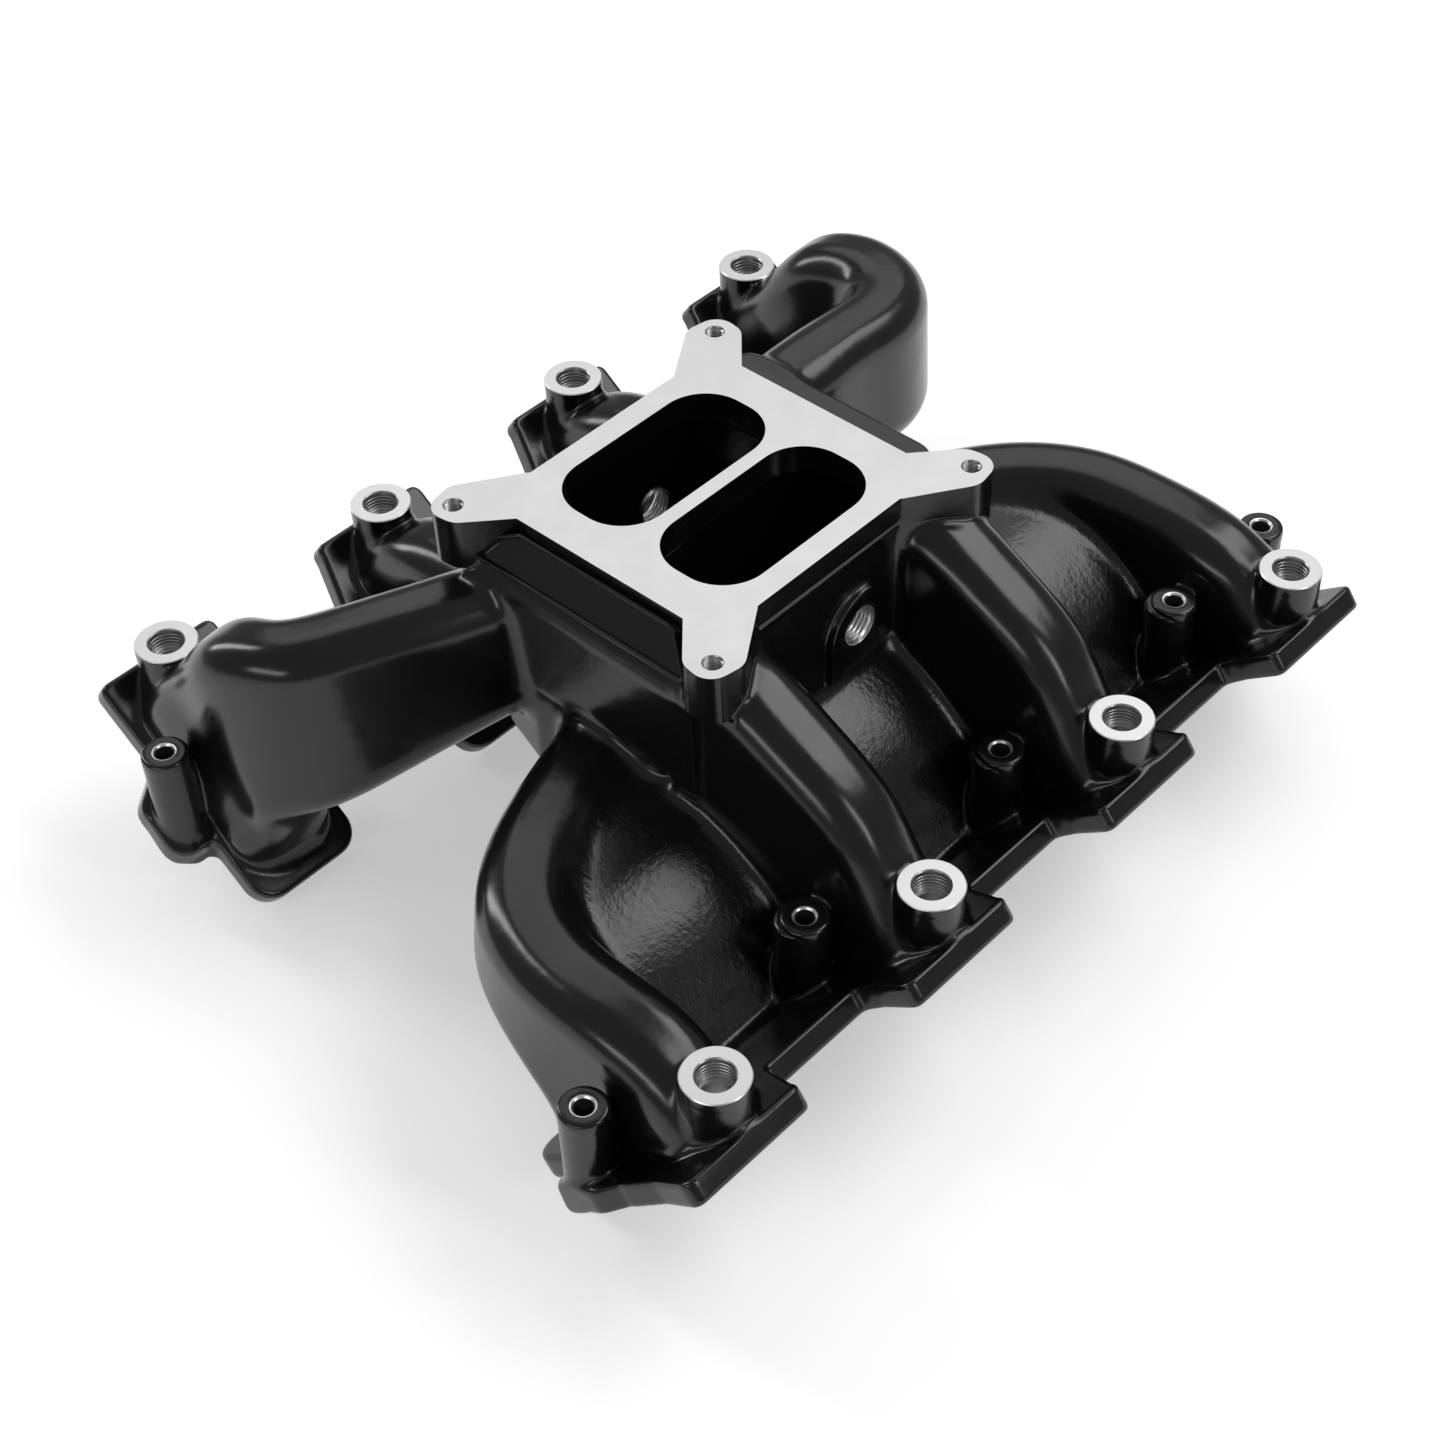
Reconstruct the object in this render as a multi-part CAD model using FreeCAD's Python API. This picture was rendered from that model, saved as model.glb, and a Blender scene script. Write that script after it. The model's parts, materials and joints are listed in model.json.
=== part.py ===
import FreeCAD, Part
import math
import os

# Square-bore carburettor intake manifold for a V8, in millimetres.
# Frame: origin at the centre of the carburettor pad's top face, Z up, Y along the crankshaft,
# +X towards the right bank. Everything else lies below Z = 0.

V = FreeCAD.Vector
UP = V(0, 0, 1)
ALONG = V(0, 1, 0)

# Carburettor pad
PAD_HALF_X = 57.5
PAD_HALF_Y = 61.5
PAD_THICKNESS = 12.0
EAR_X = 65.53
EAR_Y = 71.375
EAR_TIP_R = 8.3
EAR_THICKNESS = 22.0
EAR_TAP_R = 4.0
OVAL_CENTRE_X = 25.2
OVAL_LENGTH = 88.0
OVAL_WIDTH = 44.0
OVAL_CORNER_R = 19.0

# Cylinder spacing and bank positions
PORT_PITCH = 111.76
RIGHT_FIRST_PORT_Y = -166.93
LEFT_FIRST_PORT_Y = -151.73
BANK_TURN_Y = (RIGHT_FIRST_PORT_Y + LEFT_FIRST_PORT_Y + 3 * PORT_PITCH) / 2
RIGHT_PORTS = [RIGHT_FIRST_PORT_Y + i * PORT_PITCH for i in range(4)]
LEFT_PORTS = [LEFT_FIRST_PORT_Y + i * PORT_PITCH for i in range(4)]

# Head flange: a sloping slab, measured along the slope (u), along the bank (y) and in depth (w)
FLANGE_SLOPE = math.radians(37.45)
FLANGE_EDGE_X = 167.2
FLANGE_EDGE_Z = -81.0
FLANGE_LENGTH = 108.0
FLANGE_THICKNESS = 10.0
PLATE_HALF_Y = 25.5
STRIP_OUTER_U = 28.6
STRIP_INNER_U = 64.0

# Ports and runners
PORT_MID_U = 55.0
PORT_HEIGHT = 78.0
PORT_WIDTH = 27.0
PORT_CORNER_R = 9.0
WALL = 5.0
RUNNER_TOP_WIDTH = 34.0
RUNNER_FOOT_WIDTH = 42.0

# Injector bungs and head-bolt bosses, all vertical
BUNG_X = 152.46
BUNG_TOP_Z = -64.9
BUNG_R = 12.5
BUNG_BORE_R = 7.0
BUNG_BORE_DEPTH = 9.0
BUNG_TIP_R = 5.0
BOSS_X = 119.4
BOSS_TOP_Z = -80.4
BOSS_R = 9.25
BOSS_HOLE_R = 3.75
BOSS_STEP = 30.0
BOSS_END_STEP = 31.0

# Plenum under the pad
BOX_HALF_X = 57.5
BOX_FRONT_Y = -61.5
BOX_BACK_Y = 61.5
DUCT_FRONT_Y = -76.0
DUCT_BACK_Y = 93.0
DUCT_FRONT_Z = -24.0
DUCT_BACK_Z = -22.0
UPPER_BOTTOM_Z = -66.0
LOWER_BOTTOM_Z = -106.0
LOWER_MIN_X = -57.5
LOWER_MAX_X = 46.0
DIVIDER_T = 6.0
SIDE_WALL = 8.0
WELL_FRONT_Y = -46.0
WELL_BACK_Y = 48.0

# Threaded take-offs in the side walls
PIPE_Y = 17.0
PIPE_Z = -47.8
PIPE_R = 8.6
PIPE_BOSS_R = 12.0
RIB_INNER_R = 12.8
RIB_OUTER_R = 19.5
RIB_THICKNESS = 3.0

# Port seals
SEAL_GROOVE_DEPTH = 2.0
SEAL_WIDTH = 3.0
SEAL_HEIGHT = 3.0
SEAL_MARGIN = 1.5


def rounded_wire(points, radii):
    """Closed wire through 3-D points, each corner rounded by its own radius."""
    count = len(points)
    edges = []
    starts = []
    ends = []
    arcs = []
    for i in range(count):
        corner = points[i]
        before = (points[i - 1] - corner).normalize()
        after = (points[(i + 1) % count] - corner).normalize()
        half = before.getAngle(after) / 2
        reach = radii[i] / math.tan(half)
        middle = (before + after).normalize()
        bulge = corner + middle * (radii[i] / math.sin(half) - radii[i])
        starts.append(corner + before * reach)
        ends.append(corner + after * reach)
        arcs.append(Part.Arc(starts[i], bulge, ends[i]).toShape())
    for i in range(count):
        edges.append(arcs[i])
        edges.append(Part.makeLine(ends[i], starts[(i + 1) % count]))
    return Part.Wire(edges)


def prism(points, radii, direction):
    """Solid swept from a rounded outline along a vector."""
    return Part.Face(rounded_wire(points, radii)).extrude(direction)


def block(x0, x1, y0, y1, z0, z1):
    return Part.makeBox(x1 - x0, y1 - y0, z1 - z0, V(x0, y0, z0))


def turned(shape):
    """The same shape on the other bank: half a turn about the bank pattern's centre."""
    copy = shape.copy()
    copy.rotate(V(0, BANK_TURN_Y, 0), UP, 180)
    return copy


def slope_point(u, y, w):
    """Point on the right flange, u inwards from its outer edge and w below its top face."""
    x = FLANGE_EDGE_X - u * math.cos(FLANGE_SLOPE) + w * math.sin(FLANGE_SLOPE)
    z = FLANGE_EDGE_Z - u * math.sin(FLANGE_SLOPE) - w * math.cos(FLANGE_SLOPE)
    return V(x, y, z)


FLANGE_DOWN = V(math.sin(FLANGE_SLOPE), 0, -math.cos(FLANGE_SLOPE))


def slope_prism(outline, radii, w0, w1):
    """Solid on the right flange from an outline of (u, y) pairs, between two depths."""
    points = [slope_point(u, y, w0) for u, y in outline]
    return prism(points, radii, FLANGE_DOWN * (w1 - w0))


def port_outline(port_y, grow):
    half_u = PORT_HEIGHT / 2 + grow
    half_y = PORT_WIDTH / 2 + grow
    return [(PORT_MID_U - half_u, port_y - half_y), (PORT_MID_U - half_u, port_y + half_y),
            (PORT_MID_U + half_u, port_y + half_y), (PORT_MID_U + half_u, port_y - half_y)]


def boss_ys():
    """Right bank: one bolt before each port and one beyond the last."""
    return [y - BOSS_STEP for y in RIGHT_PORTS] + [RIGHT_PORTS[-1] + BOSS_END_STEP]


# Runner sections, each a roof point and a floor point. A point is (distance out from the
# crankshaft line, distance along the bank from the runner's own port, height).
PORT_END = slope_point(PORT_MID_U - PORT_HEIGHT / 2 - WALL, 0, 0)
PORT_FOOT = slope_point(PORT_MID_U + PORT_HEIGHT / 2 + WALL, 0, 0)
PORT_SECTION = ((PORT_END.x, 0, PORT_END.z), (PORT_FOOT.x, 0, PORT_FOOT.z))
UPPER_STRAIGHT = [
    PORT_SECTION,
    ((137, 0, -63), (86.5, 0, -127)),
    ((121, 0, -43), (81, 0, -112)),
    ((100, 0, -29.5), (74, 0, -100)),
    ((78, 0, -18), (66, 0, -91)),
    ((50, 0, -15), (50, 0, -84)),
]
LOWER_STRAIGHT = [
    PORT_SECTION,
    ((139, 0, -70), (86, 0, -130)),
    ((118, 0, -62.5), (80, 0, -121)),
    ((94, 0, -61), (72, 0, -114)),
    ((70, 0, -62.5), (60, 0, -109)),
    ((46, 0, -64.5), (46, 0, -105)),
]
UPPER_SWEPT = [
    PORT_SECTION,
    ((137, 0, -63), (86.5, 0, -127)),
    ((121, 0, -43), (82.5, 2, -115)),
    ((102, 1.5, -30), (77, 6, -106)),
    ((87, 8, -27), (71, 14, -101)),
    ((78, 22, -26.5), (65.5, 26, -97)),
    ((69, 40, -26), (60, 43, -93)),
    ((60, 60, -26), (54, 62, -89)),
    ((51, 82, -26.5), (48.5, 83, -86)),
    ((45, 104, -27), (44.5, 104, -84)),
]
LOWER_SWEPT = [
    PORT_SECTION,
    ((139, 0, -70), (86, 0, -130)),
    ((118, 0, -62.5), (80, 0.5, -121)),
    ((96, 0, -61), (72, 2, -115)),
    ((74, 2.5, -62), (61, 6, -111)),
    ((54, 10, -62.5), (48, 13, -108.5)),
    ((39, 23, -63), (36, 25, -107)),
    ((27, 41, -64), (25.5, 42, -106)),
    ((18, 62, -64.5), (17.5, 62, -105)),
    ((9, 88, -65), (9, 88, -104.5)),
    ((5, 104, -65), (5, 104, -104.5)),
]
LOWER_WIDE = [
    PORT_SECTION,
    ((139, 0, -70), (86, 0, -130)),
    ((118, 0, -62), (80, 0.5, -121)),
    ((96, -0.5, -60), (72, 1, -115)),
    ((76, 0, -59.5), (62, 3, -111)),
    ((57, 3, -59.5), (48, 7, -108.5)),
    ((39, 11, -60), (35, 15, -107)),
    ((24, 23, -61), (22.5, 26, -106)),
    ((12, 39, -62), (12, 40, -105)),
    ((6, 57, -63), (6, 58, -104.5)),
    ((4, 78, -64), (4, 78, -104.5)),
    ((4, 104, -65), (4, 104, -104.5)),
]
UPPER_HOOKED = [
    PORT_SECTION,
    ((137, 0, -63), (86.5, 0, -127)),
    ((121, 0, -43), (84, -0.5, -114)),
    ((104, 2, -31), (80, 0, -105)),
    ((87, 3, -27.5), (74, -2, -100)),
    ((70, -2, -26.5), (66, -7, -97)),
    ((57.5, -15, -26), (58, -20, -94)),
    ((53.5, -35, -25), (55, -38, -91)),
    ((53.5, -60, -24), (54, -62, -88)),
    ((53, -88, -24), (53, -88, -85)),
    ((51, -112, -24), (51, -112, -84)),
]


def placed(sections, side, port_y, flow):
    """Runner sections as 3-D point pairs on one bank; flow -1 mirrors them end for end."""
    return [(V(side * roof[0], port_y + flow * roof[1], roof[2]),
             V(side * floor[0], port_y + flow * floor[1], floor[2])) for roof, floor in sections]


def section_wire(pairs, index, inset):
    """Rounded four-sided runner section spanning a roof point and a floor point."""
    top, foot = pairs[index]
    ahead = pairs[max(index - 1, 0)]
    behind = pairs[min(index + 1, len(pairs) - 1)]
    heading = ahead[0] + ahead[1] - behind[0] - behind[1]
    side = heading.cross(UP)
    if index == 0:
        side = V(0, -heading.x, 0)
        half_top = PORT_WIDTH / 2 + WALL - inset
        half_foot = half_top
    else:
        half_top = RUNNER_TOP_WIDTH / 2 - inset
        half_foot = RUNNER_FOOT_WIDTH / 2 - inset
    rise = (top - foot).normalize()
    across = rise.cross(side).cross(rise).normalize()
    corner_r = PORT_CORNER_R + WALL - inset
    top = top - rise * inset
    foot = foot + rise * inset
    corners = [top - across * half_top, top + across * half_top,
               foot + across * half_foot, foot - across * half_foot]
    return rounded_wire(corners, [corner_r] * 4)


def runner_solid(pairs, inset):
    wires = [section_wire(pairs, index, inset) for index in range(len(pairs))]
    return Part.makeLoft(wires, True, False, False, 3)


def runner_layout():
    """Section pairs of all eight runners: two upper and two lower ones on each bank."""
    return {
        "runner_r1": placed(LOWER_SWEPT, 1, RIGHT_PORTS[0], 1),
        "runner_r2": placed(UPPER_STRAIGHT, 1, RIGHT_PORTS[1], 1),
        "runner_r3": placed(UPPER_STRAIGHT, 1, RIGHT_PORTS[2], 1),
        "runner_r4": placed(LOWER_WIDE, 1, RIGHT_PORTS[3], -1),
        "runner_l1": placed(UPPER_SWEPT, -1, LEFT_PORTS[0], 1),
        "runner_l2": placed(LOWER_STRAIGHT, -1, LEFT_PORTS[1], 1),
        "runner_l3": placed(LOWER_STRAIGHT, -1, LEFT_PORTS[2], 1),
        "runner_l4": placed(UPPER_HOOKED, -1, LEFT_PORTS[3], 1),
    }


def ear_outline(sx, sy):
    """Tapered arm out to one corner of the pad; its tip is the rounded ear."""
    points = [(PAD_HALF_X - 14, PAD_HALF_Y - 30), (PAD_HALF_X, 39.0), (EAR_X + 9.3, EAR_Y - 6.5),
              (EAR_X + 6.5, EAR_Y + 9.5), (EAR_X - 7.5, EAR_Y + 7.5), (42.0, PAD_HALF_Y),
              (30.0, PAD_HALF_Y - 14)]
    return [V(sx * x, sy * y, 0) for x, y in points]


def pad_solid():
    top = block(-PAD_HALF_X, PAD_HALF_X, -PAD_HALF_Y, PAD_HALF_Y, -PAD_THICKNESS, 0)
    box = block(-BOX_HALF_X, BOX_HALF_X, BOX_FRONT_Y, BOX_BACK_Y, -60, -PAD_THICKNESS)
    for sx in (-1, 1):
        for sy in (-1, 1):
            arm = prism(ear_outline(sx, sy), [1, 8, EAR_TIP_R, EAR_TIP_R, EAR_TIP_R, 8, 1],
                        V(0, 0, -EAR_THICKNESS))
            top = top.fuse(arm.cut(box))
    for sx in (-1, 1):
        for sy in (-1, 1):
            top = top.cut(Part.makeCylinder(EAR_TAP_R, EAR_THICKNESS - 4,
                                            V(sx * EAR_X, sy * EAR_Y, 4 - EAR_THICKNESS)))
    for sx in (-1, 1):
        top = top.cut(oval_prism(sx, -PAD_THICKNESS - 1, 1))
    return top.removeSplitter()


def oval_prism(sx, z0, z1):
    x0 = sx * OVAL_CENTRE_X - OVAL_WIDTH / 2
    x1 = sx * OVAL_CENTRE_X + OVAL_WIDTH / 2
    half = OVAL_LENGTH / 2
    points = [V(x0, -half, z0), V(x1, -half, z0), V(x1, half, z0), V(x0, half, z0)]
    return prism(points, [OVAL_CORNER_R] * 4, V(0, 0, z1 - z0))


def plenum_outer():
    """Whole body under the pad: box, front and rear ducts, lower chamber."""
    body = block(-BOX_HALF_X, BOX_HALF_X, BOX_FRONT_Y, BOX_BACK_Y, UPPER_BOTTOM_Z, -PAD_THICKNESS)
    body = body.fuse(block(-BOX_HALF_X, BOX_HALF_X, DUCT_FRONT_Y, BOX_FRONT_Y,
                           UPPER_BOTTOM_Z, DUCT_FRONT_Z))
    body = body.fuse(rear_duct_prism(UPPER_BOTTOM_Z, DUCT_BACK_Z, 0))
    return body


def rear_duct_prism(z0, z1, inset):
    """Rear duct: full width at the box, tapering towards its right-hand end."""
    points = [V(-69 + inset, BOX_BACK_Y - inset, z0), V(52 - inset, BOX_BACK_Y - inset, z0),
              V(30 - inset, DUCT_BACK_Y - inset, z0), V(-69 + inset, DUCT_BACK_Y - inset, z0)]
    return prism(points, [2, 2, 12, 4], V(0, 0, z1 - z0))


def upper_cavity():
    """Air space of the upper level, before the passage walls and divider go in."""
    side = BOX_HALF_X - SIDE_WALL
    space = block(-side, side, BOX_FRONT_Y + WALL, BOX_BACK_Y - WALL,
                  UPPER_BOTTOM_Z - 1, -PAD_THICKNESS)
    space = space.fuse(block(-side, side, DUCT_FRONT_Y + WALL,
                             BOX_FRONT_Y + WALL, UPPER_BOTTOM_Z - 1, DUCT_FRONT_Z - WALL))
    rear = block(-64, 30, BOX_BACK_Y - WALL, DUCT_BACK_Y - WALL, UPPER_BOTTOM_Z - 1,
                 DUCT_BACK_Z - WALL)
    return space.fuse(rear)


def plenum_upper_solid(bores):
    """Outer walls of the upper level, open towards the runners."""
    return biggest(trimmed(plenum_outer().cut(upper_cavity()), bores))


def lower_outer():
    points = [V(LOWER_MIN_X, DUCT_FRONT_Y + 10, LOWER_BOTTOM_Z),
              V(-26, DUCT_FRONT_Y, LOWER_BOTTOM_Z), V(LOWER_MAX_X, DUCT_FRONT_Y, LOWER_BOTTOM_Z),
              V(LOWER_MAX_X, DUCT_BACK_Y - 8, LOWER_BOTTOM_Z),
              V(LOWER_MIN_X, DUCT_BACK_Y - 8, LOWER_BOTTOM_Z)]
    return prism(points, [10, 10, 12, 12, 12], V(0, 0, UPPER_BOTTOM_Z - LOWER_BOTTOM_Z))


def plenum_lower_solid(bores):
    """Tray under the upper level: walls and bottom of the lower air plane."""
    shell = lower_outer()
    points = [V(LOWER_MIN_X + WALL, DUCT_FRONT_Y + 18, LOWER_BOTTOM_Z + WALL),
              V(-26, DUCT_FRONT_Y + WALL, LOWER_BOTTOM_Z + WALL),
              V(LOWER_MAX_X - WALL, DUCT_FRONT_Y + WALL, LOWER_BOTTOM_Z + WALL),
              V(LOWER_MAX_X - WALL, DUCT_BACK_Y - 13, LOWER_BOTTOM_Z + WALL),
              V(LOWER_MIN_X + WALL, DUCT_BACK_Y - 13, LOWER_BOTTOM_Z + WALL)]
    shell = shell.cut(prism(points, [6] * 5, V(0, 0, 60)))
    return biggest(trimmed(shell, bores))


def upper_floor_solid():
    """Floor of the upper air plane, with the left well dropping through it."""
    slab = block(-80, 80, -90, 100, UPPER_BOTTOM_Z, UPPER_BOTTOM_Z + WALL)
    plate = upper_cavity().common(plenum_outer()).common(slab)
    well = block(-BOX_HALF_X + SIDE_WALL, -DIVIDER_T / 2, WELL_FRONT_Y + WALL, WELL_BACK_Y - WALL,
                 UPPER_BOTTOM_Z - 1, UPPER_BOTTOM_Z + WALL + 1)
    return plate.cut(well)


def divider_solid():
    """Wall between the two halves of the plenum, from the pad down to the upper floor."""
    return block(-DIVIDER_T / 2, DIVIDER_T / 2, WELL_FRONT_Y, WELL_BACK_Y,
                 UPPER_BOTTOM_Z + WALL, -PAD_THICKNESS)


def passage_wall(y0, y1):
    """Wall that closes the left well off from a passage over to the left bank."""
    return block(-BOX_HALF_X + SIDE_WALL, -DIVIDER_T / 2, y0, y1,
                 UPPER_BOTTOM_Z + WALL, -PAD_THICKNESS)


def front_panel_solid():
    """Sloping cover from the pad's front edge to the front duct, with a shallow blank recess."""
    profile = [V(0, BOX_FRONT_Y, -PAD_THICKNESS), V(0, BOX_FRONT_Y - 5, -PAD_THICKNESS),
               V(0, -72, -18), V(0, DUCT_FRONT_Y, DUCT_FRONT_Z), V(0, BOX_FRONT_Y, DUCT_FRONT_Z)]
    wire = Part.makePolygon(profile + [profile[0]])
    cover = Part.Face(wire).extrude(V(104, 0, 0))
    cover.translate(V(-52, 0, 0))
    slot = Part.Face(Part.makePolygon([V(0, -66.5, -10), V(0, -73.5, -17), V(0, -71, -18.5),
                                       V(0, -64, -11.5), V(0, -66.5, -10)])).extrude(V(84, 0, 0))
    slot.translate(V(-42, 0, 0))
    return cover.cut(slot)


def flange_solid(port_bores, boss_shafts):
    """Right flange: four port plates joined by a strip, with the bolt bosses passing through."""
    slab = None
    for port_y in RIGHT_PORTS:
        plate = slope_prism([(0, port_y - PLATE_HALF_Y), (0, port_y + PLATE_HALF_Y),
                             (FLANGE_LENGTH, port_y + PLATE_HALF_Y),
                             (FLANGE_LENGTH, port_y - PLATE_HALF_Y)],
                            [4, 4, 11, 11], 0, FLANGE_THICKNESS)
        tab = slope_prism([(0, port_y - 31), (0, port_y), (42, port_y),
                           (42, port_y - 36), (20, port_y - 31)],
                          [4, 1, 1, 6, 8], 0, FLANGE_THICKNESS)
        far = slope_prism([(2, port_y), (2, port_y + PLATE_HALF_Y - 1), (30, port_y + 33),
                           (42, port_y + 33), (42, port_y)],
                          [1, 4, 6, 1, 1], 0, FLANGE_THICKNESS)
        piece = plate.fuse(tab)
        if port_y != RIGHT_PORTS[-1]:
            piece = piece.fuse(far)
        slab = piece if slab is None else slab.fuse(piece)
    bolts = boss_ys()
    strip = slope_prism([(STRIP_OUTER_U, bolts[0]), (STRIP_OUTER_U, bolts[-1] - 16),
                         (48, bolts[-1] + 11), (74, bolts[-1] + 11),
                         (74, bolts[-1] - 12), (STRIP_INNER_U, bolts[-1] - 22),
                         (STRIP_INNER_U, bolts[0] + 22), (74, bolts[0] + 12),
                         (74, bolts[0] - 10), (48, bolts[0] - 10)],
                        [2, 4, 8, 8, 4, 4, 4, 4, 8, 8], 0, FLANGE_THICKNESS)
    slab = slab.fuse(strip)
    for bore in port_bores:
        slab = slab.cut(bore)
    for shaft in boss_shafts:
        slab = slab.cut(shaft)
    return slab.removeSplitter()


def web_solid(y0, y1, inner_x, inner_z, mid):
    """Cast sheet between two runners, sagging from the plenum down to the flange strip."""
    end = slope_point(STRIP_INNER_U, 0, 0)
    top = Part.Arc(V(inner_x, 0, inner_z), V(mid[0], 0, mid[1]), V(end.x, 0, end.z)).toShape()
    low = Part.Arc(V(inner_x, 0, inner_z - WALL), V(mid[0] - 2, 0, mid[1] - WALL - 1),
                   V(end.x - 3, 0, end.z - WALL)).toShape()
    ends = low.Vertexes
    tops = top.Vertexes
    left = Part.makeLine(tops[0].Point, ends[0].Point)
    right = Part.makeLine(tops[-1].Point, ends[-1].Point)
    face = Part.Face(Part.Wire([left, low, right, top]))
    sheet = face.extrude(V(0, y1 - y0, 0))
    sheet.translate(V(0, y0, 0))
    return sheet


def web_blanks():
    """Webs of both banks before they are trimmed to the runners, plenum and flanges."""
    r = RIGHT_PORTS
    middle = web_solid(r[1] + 10, r[2] - 10, BOX_HALF_X, -67, (92, -89))
    return {
        "web_r12": web_solid(r[0] + 12, r[1] - 10, 24, -70, (84, -86)),
        "web_r23": middle,
        "web_r34": web_solid(r[2] + 10, r[3] - 12, 24, -70, (84, -86)),
        "web_l12": turned(web_solid(r[2] + 10, r[3] - 12, BOX_HALF_X, -71, (90, -90))),
        "web_l23": turned(middle),
        "web_l34": turned(web_solid(r[0] + 12, r[1] - 10, BOX_HALF_X, -71, (90, -90))),
    }


def bung_solid(port_y, trims):
    """Injector bung with a stepped bore that opens into the port."""
    bung = Part.makeCylinder(BUNG_R, 60, V(BUNG_X, port_y, BUNG_TOP_Z - 60))
    for trim in trims:
        bung = bung.cut(trim)
    bung = bung.cut(bung_bore(port_y))
    return biggest(bung)


def bung_bore(port_y):
    bore = Part.makeCylinder(BUNG_BORE_R, BUNG_BORE_DEPTH,
                             V(BUNG_X, port_y, BUNG_TOP_Z - BUNG_BORE_DEPTH))
    tip = Part.makeCylinder(BUNG_TIP_R, 34, V(BUNG_X, port_y, BUNG_TOP_Z - 34))
    return bore.fuse(tip)


def boss_shaft(boss_y):
    """Boss blank, cut off square with the gasket face."""
    shaft = Part.makeCylinder(BOSS_R, 80, V(BOSS_X, boss_y, BOSS_TOP_Z - 80))
    below = slope_prism([(-40, boss_y - 40), (-40, boss_y + 40), (160, boss_y + 40),
                         (160, boss_y - 40)], [1] * 4, FLANGE_THICKNESS, FLANGE_THICKNESS + 90)
    return shaft.cut(below)


def boss_hole(boss_y):
    return Part.makeCylinder(BOSS_HOLE_R, 90, V(BOSS_X, boss_y, BOSS_TOP_Z - 88))


def pipe_boss_solid(side):
    """Threaded plug of metal through the side wall."""
    start = V(side * (BOX_HALF_X - SIDE_WALL), PIPE_Y, PIPE_Z)
    plug = Part.makeCylinder(PIPE_BOSS_R, SIDE_WALL, start, V(side, 0, 0))
    return plug.cut(pipe_bore(side))


def pipe_rib_solid(side):
    """Rib that climbs the wall in front of a take-off and arches over it."""
    start = V(side * BOX_HALF_X, PIPE_Y, PIPE_Z)
    rib = Part.makeCylinder(RIB_OUTER_R, RIB_THICKNESS, start, V(side, 0, 0))
    rib = rib.cut(Part.makeCylinder(RIB_INNER_R, RIB_THICKNESS, start, V(side, 0, 0)))
    x0, x1 = sorted((side * BOX_HALF_X, side * (BOX_HALF_X + RIB_THICKNESS)))
    rib = rib.cut(block(x0, x1, PIPE_Y + 4, PIPE_Y + 30, PIPE_Z - 30, PIPE_Z + 30))
    rib = rib.cut(block(x0, x1, PIPE_Y - 30, PIPE_Y + 30, PIPE_Z - 30, PIPE_Z))
    leg = block(x0, x1, PIPE_Y - RIB_OUTER_R, PIPE_Y - RIB_INNER_R, -63, PIPE_Z)
    return rib.fuse(leg).removeSplitter()


def pipe_bore(side):
    start = V(side * (BOX_HALF_X - SIDE_WALL - 1), PIPE_Y, PIPE_Z)
    return Part.makeCylinder(PIPE_R, SIDE_WALL + 2, start, V(side, 0, 0))


def pipe_plug(side):
    """Space taken up in the wall by a take-off's plug."""
    start = V(side * (BOX_HALF_X - SIDE_WALL), PIPE_Y, PIPE_Z)
    return Part.makeCylinder(PIPE_BOSS_R, SIDE_WALL, start, V(side, 0, 0))


def port_prism(port_y, grow, w0, w1, corner_r):
    return slope_prism(port_outline(port_y, grow), [corner_r] * 4, w0, w1)


def seal_ring(port_y, w0, w1):
    """Closed ring round a port in the gasket face."""
    reach = SEAL_MARGIN + SEAL_WIDTH
    outer = port_prism(port_y, reach, w0, w1, PORT_CORNER_R + reach)
    inner = port_prism(port_y, SEAL_MARGIN, w0 - 1, w1 + 1, PORT_CORNER_R + SEAL_MARGIN)
    return outer.cut(inner)


def biggest(shape):
    """The main body after trimming, without stray slivers."""
    return sorted(shape.Solids, key=lambda solid: solid.Volume)[-1]


def trimmed(shape, cutters):
    for cutter in cutters:
        if shape.BoundBox.intersect(cutter.BoundBox):
            shape = shape.cut(cutter)
    return shape


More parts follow.
